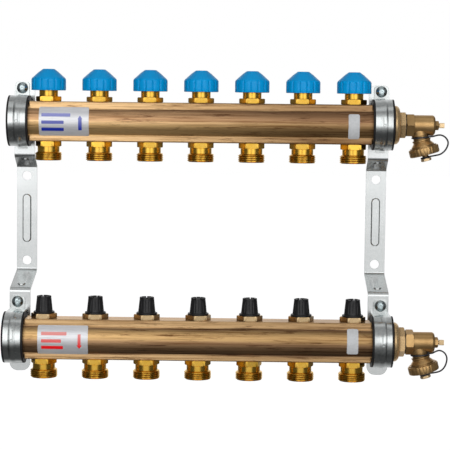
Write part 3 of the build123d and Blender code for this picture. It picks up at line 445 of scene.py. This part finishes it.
# %% CAD nodes and their finishes
slot_finish = {"fitting_brass": fitting_brass, "valve_bronze": valve_bronze, "zinc_steel": zinc,
               "stainless_pin": pin_steel, "black_rubber": black_rubber, "blue_plastic": blue_plastic,
               "black_plastic": black_plastic, "tether_plastic": tether_plastic}
node_finish = {"return_bar": upper_brass, "supply_bar": lower_brass, "left_bracket": strip_zinc,
               "right_bracket": strip_zinc, "end_bushes": bush_brass, "clamp_screws": blue_zinc,
               "return_drain_spindle": key_brass, "supply_drain_spindle": key_brass}
node_slot = {row["node"]: row["material_slot"] for row in frame["record"]["subparts"]}
for name, node in frame["nodes"].items():
    coat = node_finish.get(name) or slot_finish.get(node_slot[name])
    if coat:
        node.data.materials.clear()
        node.data.materials.append(coat)
print(len(frame["nodes"]), "nodes dressed")

# %% [markdown]
# ## One helper for everything turned
# Caps, nipples and rings are bodies of revolution with small departures: facets, flutes, notches or a
# thread. A lathe can't make those, so the helper spins a list of rings itself. A ring is a radius and a
# height, and either may be a formula of the angle. Edges sharper than a given angle are marked sharp, and
# the rest is shaded smooth. Each piece is made at its own place, so no two take the same noise.

# %% Spun skins


def put(mesh, coat, body, nodes=()):
    """Give a mesh its finish and its body, and let it stand for CAD nodes."""
    mesh.materials.append(coat)
    thing = bpy.data.objects.new(mesh.name, mesh)
    scene.collection.objects.link(thing)
    if nodes:
        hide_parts(*nodes)
    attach(thing, body)
    return thing


def as_mesh(name, shape, place, crease):
    """Turn a finished bmesh into a named mesh, smooth but for its sharp edges."""
    bmesh.ops.remove_doubles(shape, verts=shape.verts, dist=0.0001 * MM)
    bmesh.ops.recalc_face_normals(shape, faces=shape.faces)
    shape.transform(place)
    mesh = bpy.data.meshes.new(name)
    shape.to_mesh(mesh)
    shape.free()
    for face in mesh.polygons:
        face.use_smooth = True
    mesh.set_sharp_from_angle(angle=math.radians(crease))
    return mesh


def spun(name, rings, place, steps=96, crease=32.0):
    """A skin through rings of (radius, height), each a number or a formula of the angle."""
    shape = bmesh.new()
    loops = []
    for radius, height in rings:
        if not callable(radius) and radius == 0:
            loops.append([shape.verts.new((0, 0, height))])
            continue
        loop = []
        for i in range(steps):
            angle = 2 * math.pi * i / steps
            r = radius(angle) if callable(radius) else radius
            z = height(angle) if callable(height) else height
            loop.append(shape.verts.new((r * math.cos(angle), r * math.sin(angle), z)))
        loops.append(loop)
    for a, b in zip(loops, loops[1:]):
        for i in range(steps):
            j = (i + 1) % steps
            corners = [a[i % len(a)], a[j % len(a)], b[j % len(b)], b[i % len(b)]]
            shape.faces.new(list(dict.fromkeys(corners)))
    return as_mesh(name, shape, place, crease)


def polygon(across, sides):
    """The edge of a regular polygon as a formula of the angle, with its first corner at angle 0."""
    half = math.pi / sides
    return lambda angle: across / 2 / math.cos(angle % (2 * half) - half)


def least(*limits):
    """The smallest of several radii, each a number or a formula."""
    return lambda angle: min(limit(angle) if callable(limit) else limit for limit in limits)


def over_port(x, axis, height=0.0, turn=0.0):
    """A place over a port, at a height above the bar's axis, turned about the port."""
    return Matrix.Translation(Vector((x, axis.y, axis.z + height))) @ Matrix.Rotation(turn, 4, "Z")


print("a hexagon 22 across reaches", round(polygon(22, 6)(0), 2), "at its corners")

# %% [markdown]
# ## The blue hand caps
# Each cap is a moulded shell: a skirt with fourteen soft ribs that runs into a cone with a small flat top.
# The grooves between the ribs end in shallow arcs on the cone. That is the lesser of two radii at each
# height, a ribbed cylinder and a cone, with the corner between them rounded. Inside, the shell is hollow
# over the brass collar.

# %% Hand caps
cap_sides, cap_reach, cap_groove = 14, 16.9 * MM, 0.8 * MM
cap_low, cap_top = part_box("return_cap_1")[0].z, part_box("return_cap_1")[1].z
cap_high = cap_top - cap_low
cap_shoulder, cap_bend, cap_top_r, cap_ease = 11.4 * MM, 1.4 * MM, 6.3 * MM, 1.6 * MM
cap_slope = (cap_reach - cap_top_r) / (cap_high - cap_shoulder)
clocking = math.radians(17)


def eased(a, b, ease):
    """The lesser of two lengths, with the corner between them rounded."""
    near = max(ease - abs(a - b), 0.0) / ease
    return min(a, b) - near * near * ease / 4


def cap_skin(height, shrink=0.0):
    """The cap's outside at a height over its rim: the lesser of the ribbed skirt and the cone."""
    cone = cap_reach - cap_slope * (height - cap_shoulder)

    def edge(angle):
        across = (angle * cap_sides / math.pi) % 2 - 1
        return eased(cap_reach - cap_groove * across ** 6, cone, cap_bend) - shrink

    return edge


inside = [(0, 12.8), (4.5, 12.8), (4.5, 18.4), (6.3, 18.4), (15.1, 10.7), (15.1, 0.3), (15.4, 0)]
cap_rings = [(r * MM, h * MM) for r, h in inside]
cap_rings += [(cap_skin(0, 0.5 * MM), 0.0), (cap_skin(0, 0.15 * MM), 0.15 * MM)]
cap_rings += [(cap_skin(h * MM), h * MM)
              for h in (0.5, 4, 8, 9.5, 10.2, 10.8, 11.3, 11.8, 12.4, 13, 13.8, 15, 16.5, 18)]
for step in range(6):
    bend = math.radians(42 + 9.6 * step)
    cap_rings.append((cap_top_r - 0.75 * cap_ease + cap_ease * math.cos(bend),
                      cap_high - cap_ease + cap_ease * math.sin(bend)))
cap_rings.append((0, cap_high))
for n, x in enumerate(port_x, start=1):
    place = over_port(x, return_axis, cap_low - return_axis.z, n * clocking)
    shell = spun(f"hand_cap_{n}", cap_rings, place, steps=cap_sides * 10, crease=50)
    put(shell, blue_plastic, f"return_cap_{n}", [f"return_cap_{n}"])
print(port_count, "hand caps,", len(shell.polygons), "faces each")

# %% [markdown]
# ## The black regulating caps
# A regulating cap is a small tapered knob on a thin flange. Its side has faint flutes and its rim is
# notched round a recess, where a key grips it. The flutes are a cosine in the radius and the notches a
# step in the height, so the same helper makes both.

# %% Regulating caps
knob_low, knob_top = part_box("supply_cap_1")[0].z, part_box("supply_cap_1")[1].z
knob_high = knob_top - knob_low
knob_foot, knob_head, knob_flutes, knob_notches = 8.4 * MM, 7.05 * MM, 12, 8
flange_r, flange_high = 10.2 * MM, 1.7 * MM
knob_recess, knob_depth, knob_flute = 4.8 * MM, 3.0 * MM, 0.4 * MM
notch_deep, notch_half, socket_r, socket_deep = 1.5 * MM, 0.62 * MM, 6.1 * MM, 8.6 * MM


def knob_side(share):
    """The knob's fluted side, at a share of the way from its flange to its top."""
    plain = knob_foot + (knob_head - knob_foot) * share
    depth = knob_flute * min(1, 5 * share + 0.1, 9 * (1 - share))
    return lambda angle: plain - depth * max(0.0, math.cos(knob_flutes * angle)) ** 3


def knob_rim(drop):
    """The notched rim's height, a little below the top."""
    def height(angle):
        spacing = 2 * math.pi / knob_notches
        from_notch = abs((angle + spacing / 2) % spacing - spacing / 2)
        return knob_high - drop - (notch_deep if from_notch * knob_head < notch_half else 0)
    return height


knob_rings = [(0, knob_high - knob_depth), (knob_recess, knob_high - knob_depth),
              (knob_recess, knob_rim(0.2 * MM)), (knob_recess + 0.25 * MM, knob_rim(0)),
              (knob_head - 0.5 * MM, knob_rim(0)), (knob_head - 0.12 * MM, knob_rim(0.15 * MM)),
              (knob_head, knob_rim(0.5 * MM))]
side_high = knob_high - notch_deep - flange_high - 0.6 * MM
for share in (1.0, 0.9, 0.75, 0.6, 0.45, 0.3, 0.15, 0.06, 0.0):
    knob_rings.append((knob_side(share), flange_high + 0.2 * MM + side_high * share))
knob_rings += [(knob_foot + 0.5 * MM, flange_high), (flange_r - 0.3 * MM, flange_high),
               (flange_r, flange_high - 0.3 * MM), (flange_r, 0.3 * MM), (flange_r - 0.3 * MM, 0),
               (socket_r, 0), (socket_r, socket_deep), (0, socket_deep)]
for n, x in enumerate(port_x, start=1):
    place = over_port(x, supply_axis, knob_low - supply_axis.z, n * clocking)
    knob = spun(f"regulating_cap_{n}", knob_rings, place, steps=192, crease=40)
    put(knob, black_plastic, f"supply_cap_{n}", [f"supply_cap_{n}"])
print(port_count, "regulating caps,", len(knob.polygons), "faces each")

# %% [markdown]
# ## The inserts and the outlet nipples
# Every fitting in the bars is turned from hexagon bar. Above each port sits an insert: a hexagon on the
# pad, then a neck with a broad collar on the return bar, or a slim stub on the supply bar. Below hangs the
# outlet nipple: a hexagon, a neck, and a pipe thread with the cone that seats the loop's pipe. A fitting
# is screwed in until it is tight, so each hexagon stops at its own angle; these are read off the picture.
# A thread is one helix, so its radius at a height is a saw-tooth of the height minus the angle's share
# of the pitch. It fades out at both ends as a cut thread does.

# %% Inserts and nipples
pad_high, shank, shank_r, hexagon = 19.5 * MM, 6.0 * MM, 10.35 * MM, polygon(22 * MM, 6)
blunt = least(hexagon, hexagon(0) - 0.7 * MM)
nipple_hex, neck_end, nipple_end = 5.2 * MM, 30.5 * MM, 38.4 * MM
thread_r, thread_pitch, thread_depth, thread_rings = 13.1 * MM, 1.814 * MM, 0.9 * MM, 56
thread_run, thread_sink = 0.9 * MM, 0.7 * MM
neck_r, mouth_r, bore_r = 10.8 * MM, 9.4 * MM, 6.0 * MM


def thread(height):
    """The thread's radius at a height, as a formula of the angle."""
    fade = max(0.0, min(1.0, (height + nipple_end) / thread_run, (-neck_end - height) / thread_run))

    def edge(angle):
        tooth = abs(((height / thread_pitch - angle / (2 * math.pi)) % 1) * 2 - 1)
        crest = min(1.0, tooth * 1.6)
        return thread_r - thread_depth * (1 - crest) - (1 - fade) * thread_sink

    return edge


def hexagon_bar(bore, high, way):
    """Rings from a bore over the shank and the hexagon, going up (way 1) or down (way -1) from the pad."""
    foot, head = way * pad_high, way * (pad_high + high)
    return [(bore, foot - way * shank), (shank_r, foot - way * shank), (shank_r, foot),
            (blunt, foot + way * 0.02 * MM), (hexagon, foot + way * 0.4 * MM),
            (hexagon, head - way * 0.4 * MM), (blunt, head)]


nipple_rings = hexagon_bar(bore_r, nipple_hex, -1) + [
    (neck_r + 0.3 * MM, -pad_high - nipple_hex), (neck_r, -pad_high - nipple_hex - 0.3 * MM),
    (neck_r, -neck_end + 0.5 * MM), (neck_r + 0.5 * MM, -neck_end + 0.02 * MM)]
for i in range(thread_rings + 1):
    height = -neck_end - (nipple_end - neck_end) * i / thread_rings
    nipple_rings.append((thread(height), height))
nipple_rings += [(mouth_r + 0.3 * MM, -nipple_end), (mouth_r, -nipple_end + 0.3 * MM),
                 (7.6 * MM, -nipple_end + 7 * MM), (bore_r, -nipple_end + 7 * MM),
                 (bore_r, -pad_high + shank)]
collar = [(9.5, 24.3), (9.2, 24.6), (9.2, 31.0), (14.2, 31.0), (15.0, 31.8), (15.0, 36.7), (14.2, 37.5),
          (2.55, 37.5), (2.55, 13.5)]
stub = [(6.3, 24.2), (6.0, 24.5), (6.0, 32.4), (5.7, 32.7), (3.55, 32.7), (3.55, 13.5)]
# For each bar: its axis, the insert's rings and finish, and the turns of inserts and nipples in degrees
fittings = {
    "return": (return_axis, hexagon_bar(2.55 * MM, 4.8 * MM, 1) + [(r * MM, h * MM) for r, h in collar],
               fitting_brass, (-4, 2, 0, 0, 1, -5, -3), (0, -2, 3, 1, 2, -2, 4)),
    "supply": (supply_axis, hexagon_bar(3.55 * MM, 4.7 * MM, 1) + [(r * MM, h * MM) for r, h in stub],
               pale_brass, (0, 3, 7, 13, 4, 10, 5), (-5, 0, 2, 6, 14, 5, 3))}
for bar, (axis, insert_rings, insert_finish, insert_turns, nipple_turns) in fittings.items():
    for n, (x, insert_turn, nipple_turn) in enumerate(zip(port_x, insert_turns, nipple_turns), start=1):
        for kind, rings, coat, turn in (("insert", insert_rings, insert_finish, insert_turn),
                                        ("nipple", nipple_rings, fitting_brass, nipple_turn)):
            place = over_port(x, axis, 0, math.radians(turn))
            fitting = spun(f"{bar}_{kind}_{n}", rings, place, crease=30)
            put(fitting, coat, "manifold", [f"{bar}_{kind}s"])
print(2 * port_count, "inserts and as many nipples,", len(fitting.polygons), "faces each nipple")

# %% [markdown]
# ## The outlet caps of the drain valves
# An outlet cap is a short ribbed ring that closes the tilted outlet, with a small hexagon under its face.
# A real one is cast and knurled, and its hexagon is worn bright by keys. The ribs are a rounded wave in
# the radius, and they end at the chamfers; the hexagon's faces take a second, brighter finish.

# %% Outlet caps
tilt = math.radians(15)
body_start, outlet_offset = bar_end + 19.5 * MM, 4.0 * MM
outlet_x = body_start + outlet_offset
outlet_way = Vector((math.sin(tilt), 0, -math.cos(tilt)))
ring_low, ring_high, ring_r, ring_bore, grip_ribs = 22.3 * MM, 29.9 * MM, 14.9 * MM, 13.25 * MM, 24
key_start, key_end, key_neck = 33.51 * MM, 36.11 * MM, 3.2 * MM


def along_outlet(axis, lean=0.0):
    """The outlet's own place: its foot on the bar's axis, with local Z pointing out of the mouth."""
    across = Vector((math.cos(tilt + lean), 0, math.sin(tilt + lean)))
    out = Vector((math.sin(tilt + lean), 0, -math.cos(tilt + lean)))
    turn = Matrix((across, out.cross(across), out)).transposed().to_4x4()
    return Matrix.Translation(Vector((outlet_x, axis.y, axis.z))) @ turn


def ribbed(radius, rib=0.5 * MM):
    """A grip of rounded ribs with narrow valleys."""
    return lambda angle: radius - rib * (1 - abs(math.cos(grip_ribs * angle / 2)) ** 0.5)


key = polygon(9.0 * MM, 6)
blunt_key = least(key, key(0) - 0.6 * MM)
cap_end_rings = [(0, ring_high - 1.6 * MM), (ring_bore, ring_high - 1.6 * MM),
                 (ring_bore, ring_low + 0.3 * MM), (ring_bore + 0.25 * MM, ring_low),
                 (ring_r - 0.9 * MM, ring_low), (ring_r - 0.35 * MM, ring_low + 0.2 * MM),
                 (ribbed(ring_r), ring_low + 0.9 * MM), (ribbed(ring_r), ring_high - 1.1 * MM),
                 (ring_r - 0.45 * MM, ring_high - 0.3 * MM), (ring_r - 1.0 * MM, ring_high),
                 (key_neck + 0.4 * MM, ring_high), (key_neck, ring_high + 0.3 * MM),
                 (key_neck, key_start), (blunt_key, key_start), (key, key_start + 0.35 * MM),
                 (key, key_end - 0.35 * MM), (blunt_key, key_end), (0, key_end)]
for bar, axis in (("return", return_axis), ("supply", supply_axis)):
    closed = spun(f"{bar}_outlet_cap", cap_end_rings, along_outlet(axis), steps=192, crease=35)
    put(closed, valve_bronze, f"{bar}_drain_cap", [f"{bar}_drain_cap"])
    closed.materials.append(key_brass)
    foot = Vector((outlet_x, axis.y, axis.z))
    for face in closed.polygons:
        face.material_index = int((face.center - foot).dot(outlet_way) > key_start - 0.1 * MM)
print("outlet caps,", len(closed.polygons), "faces each")

# %% [markdown]
# ## The tethers
# A thin plastic cord keeps each cap with its valve. Both ends are moulded rings: a wide one snapped on the
# outlet's neck and a small one under the cap. The cord is a smooth curve through the air between them,
# so it is one spline whose control points repeat the route of the solid model, and the rings are spun.

# %% Tethers
cord_r, ring_one_reach, ring_lean = 0.8 * MM, 12.4 * MM, math.radians(-8)
leave, meet = (11.645, 0, -10.94), (12.69, 0, -30.36)
loops = {"return": [(15.0, 0, -10.95), (19.0, -0.6, -9.4), (23.4, -1.4, -9.1), (27.6, -2.0, -11.5),
                    (30.2, -2.2, -15.8), (29.4, -2.0, -20.4), (27.0, -1.4, -24.8), (23.0, -0.8, -28.2),
                    (18.0, 0, -29.4)],
         "supply": [(15.0, 0, -10.95), (18.4, -0.6, -8.6), (22.4, -1.4, -7.3), (27.0, -2.2, -9.6),
                    (29.3, -2.6, -14.2), (28.8, -2.4, -19.8), (26.4, -1.6, -25.4), (21.4, -0.8, -29.3)]}


def round_ring(name, outer, inner, thick, place):
    """A moulded ring with softly rounded edges."""
    wide, mid = (outer - inner) / 2, (outer + inner) / 2
    section = []
    for i in range(17):
        turn = 2 * math.pi * i / 16
        push_r, push_z = math.cos(turn), math.sin(turn)
        section.append((mid + wide * math.copysign(abs(push_r) ** 0.6, push_r),
                        thick / 2 * math.copysign(abs(push_z) ** 0.6, push_z)))
    return spun(name, section, place, steps=72, crease=80)


for bar, axis in (("return", return_axis), ("supply", supply_axis)):
    foot = Vector((outlet_x, axis.y, axis.z))
    lean_place = Matrix.Translation(outlet_way * ring_one_reach) @ along_outlet(axis, ring_lean)
    flat_place = along_outlet(axis) @ Matrix.Translation((0, 0, key_start - 0.9 * MM))
    neck_ring = put(round_ring(f"{bar}_neck_ring", 9.3 * MM, 8.0 * MM, 1.4 * MM, lean_place),
                    tether_plastic, "manifold", [f"{bar}_tether"])
    cap_ring = put(round_ring(f"{bar}_cap_ring", 5.2 * MM, 3.35 * MM, 1.5 * MM, flat_place),
                   tether_plastic, "manifold", [f"{bar}_tether"])
    curve = bpy.data.curves.new(f"{bar}_cord", "CURVE")
    curve.dimensions, curve.bevel_depth, curve.bevel_resolution, curve.use_fill_caps = "3D", cord_r, 4, True
    line = curve.splines.new("NURBS")
    route = [foot + Vector(point) * MM for point in [leave] + loops[bar] + [meet]]
    line.points.add(len(route) - 1)
    for knot, point in zip(line.points, route):
        knot.co = (*point, 1)
    line.order_u = 3
    line.use_endpoint_u = True
    line.resolution_u = 12
    curve.materials.append(tether_plastic)
    cord = bpy.data.objects.new(f"{bar}_cord", curve)
    scene.collection.objects.link(cord)
    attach(cord, "manifold")
    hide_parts(f"{bar}_tether")
print("tethers with", [len(loop) + 2 for loop in loops.values()], "points")

# %% [markdown]
# ## Labels wrapped on the bars
# A label is a thin sheet that follows the bar's round front. It is built in rows along the bar: each row
# has a left and a right end, so rounded corners and an arrow's outline are only rows of other lengths.
# The rows are wrapped on the cylinder, and a second skin just below gives the sheet its thickness.

# %% Wrapped sheets
bar_r, label_lift, label_thick, ink_thick = 19.0 * MM, 0.03 * MM, 0.2 * MM, 0.02 * MM
print_lift = label_lift + label_thick
foil_long, foil_reach, marker_long, belly_edge = 48.6 * MM, 15.5 * MM, 10.8 * MM, math.asin(12.6 / 19.0)


def wrapped(name, axis, rows, lift, thick, columns=12):
    """A thin sheet on a bar's front, from rows of (height along the curve, left x, right x)."""
    shape = bmesh.new()
    skins = []
    for radius in (bar_r + lift + thick, bar_r + lift):
        skin = []
        for arc, left, right in rows:
            angle = math.copysign(min(abs(arc) / bar_r, belly_edge), arc)
            past = arc - angle * bar_r
            ahead = radius * math.cos(angle) - past * math.sin(angle)
            high = radius * math.sin(angle) + past * math.cos(angle)
            skin.append([shape.verts.new((left + (right - left) * i / columns, axis.y - ahead,
                                          axis.z + high)) for i in range(columns + 1)])
        skins.append(skin)
        for a, b in zip(skin, skin[1:]):
            for i in range(columns):
                shape.faces.new((a[i], a[i + 1], b[i + 1], b[i]))
    front, back = [skin[0] + [row[-1] for row in skin[1:]] + skin[-1][-2::-1]
                   + [row[0] for row in skin[-2:0:-1]] for skin in skins]
    for i in range(len(front)):
        j = (i + 1) % len(front)
        shape.faces.new((front[i], front[j], back[j], back[i]))
    return as_mesh(name, shape, Matrix.Identity(4), 50)


def rounded_rows(left, right, low, high, corner_r, steps=6, rows=14):
    """Rows of a rectangle with rounded corners."""
    found = []
    for i in range(steps + 1):
        turn = math.pi / 2 * i / steps
        inset = corner_r * (1 - math.sin(turn))
        found.append((low + corner_r * (1 - math.cos(turn)), left + inset, right - inset))
    plain_low, plain_high = low + corner_r, high - corner_r
    middle_rows = [(plain_low + (plain_high - plain_low) * i / rows, left, right) for i in range(1, rows)]
    return found + middle_rows + [(low + high - arc, a, b) for arc, a, b in reversed(found)]


def around(height):
    """The length along the curve up to a height above the bar's axis, in millimetres both."""
    return bar_r * math.asin(height * MM / bar_r)


print("a label wraps", round(math.degrees(2 * foil_reach / bar_r)), "degrees of the bar")

# %% [markdown]
# ## Foil and its print
# The foil is brushed silver, as grey as its fine grain makes it. Three printed bars and an arrow stand on
# it, and the arrow shows which way the water goes. The print is lighter higher up, so its colour is a
# ramp over the height above the bar's axis. Paper is matt and pale, with a trace of fibres in its colour.

# %% Foil finish and print
foil = finish("brushed_foil", (0.80, 0.80, 0.82), 0.55, 0.38)
grain = noise(foil, (60, 1600, 1600), 4, 0.6)
paint(foil, "Base Color", ramp(foil, grain, [(0.3, (0.66, 0.67, 0.70)), (0.7, (0.86, 0.86, 0.88))]))
bump(foil, grain, 0.00001)
white_paper = finish("white_paper", (0.51, 0.52, 0.53), 0.0, 0.45)
fibres = noise(white_paper, 500, 4)
paint(white_paper, "Base Color",
      ramp(white_paper, fibres, [(0.3, (0.47, 0.48, 0.49)), (0.7, (0.55, 0.56, 0.57))]))


def ink(name, axis, low, high, faint, strong):
    """Printing ink that is lighter higher above the bar's axis."""
    material = finish(name, strong, 0.0, 0.45, Specular_IOR_Level=0.2)
    share = spread(material, coordinates(material, "Object")["Z"], axis.z + low, axis.z + high)
    paint(material, "Base Color", ramp(material, share, [(0, strong), (1, faint)]))
    return material


def arrow_rows(x, foot, neck, tip, shaft, head):
    """Rows of an arrow from its foot to its tip; given in millimetres over the bar's axis."""
    rows = []
    for i in range(9):
        rows.append((around(foot + (neck - foot) * i / 8), x - shaft / 2 * MM, x + shaft / 2 * MM))
    for i in range(6):
        half = (head / 2 * (1 - i / 5) + 0.05) * MM
        rows.append((around(neck + (tip - neck) * max(i / 5, 0.02)), x - half, x + half))
    return rows if tip > foot else rows[::-1]


blue_ink = ink("blue_ink", return_axis, -8 * MM, 8 * MM, (0.30, 0.32, 0.62), (0.004, 0.02, 0.30))
red_ink = ink("red_ink", supply_axis, -7 * MM, 8 * MM, (0.80, 0.34, 0.32), (0.80, 0.005, 0.01))
# For each bar: its axis, the foil's lead before the first port, its ink, the print's margin, the printed
# lines as (height, width), and the arrow as in arrow_rows
labels = {"return": (return_axis, 7.4 * MM, blue_ink, 2.5, ((6.2, 28.2), (-0.8, 21.8), (-7.6, 21.8)),
                     (40.1, -8.3, 2.3, 5.9, 3.5, 4.6)),
          "supply": (supply_axis, 4.2 * MM, red_ink, 3.6, ((6.4, 24.5), (-0.5, 19.3), (-6.9, 21.1)),
                     (40.3, 6.0, -4.6, -8.0, 2.9, 5.2))}
for bar, (axis, lead, colour, margin, lines, arrow) in labels.items():
    left = port_x[0] - lead
    sheet = wrapped(f"{bar}_foil", axis,
                    rounded_rows(left, left + foil_long, -foil_reach, foil_reach, 1.6 * MM),
                    label_lift, label_thick)
    put(sheet, foil, "manifold", ["foil_labels"])
    for row, (height, width) in enumerate(lines):
        bar_rows = rounded_rows(left + margin * MM, left + (margin + width) * MM, around(height - 1.6),
                                around(height + 1.6), 0.6 * MM, 3, 3)
        put(wrapped(f"{bar}_print_{row + 1}", axis, bar_rows, print_lift, ink_thick), colour, "manifold")
    points = arrow_rows(left + arrow[0] * MM, *arrow[1:])
    put(wrapped(f"{bar}_arrow", axis, points, print_lift, ink_thick), colour, "manifold")
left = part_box("marker_labels")[0].x
for bar, axis, low, high in (("return", return_axis, -15.5, 10.6), ("supply", supply_axis, -10.6, 15.5)):
    sheet = wrapped(f"{bar}_marker", axis,
                    rounded_rows(left, left + marker_long, low * MM, high * MM, 1.8 * MM),
                    label_lift, label_thick)
    put(sheet, white_paper, "manifold", ["marker_labels"])
print("labels", sorted(labels))
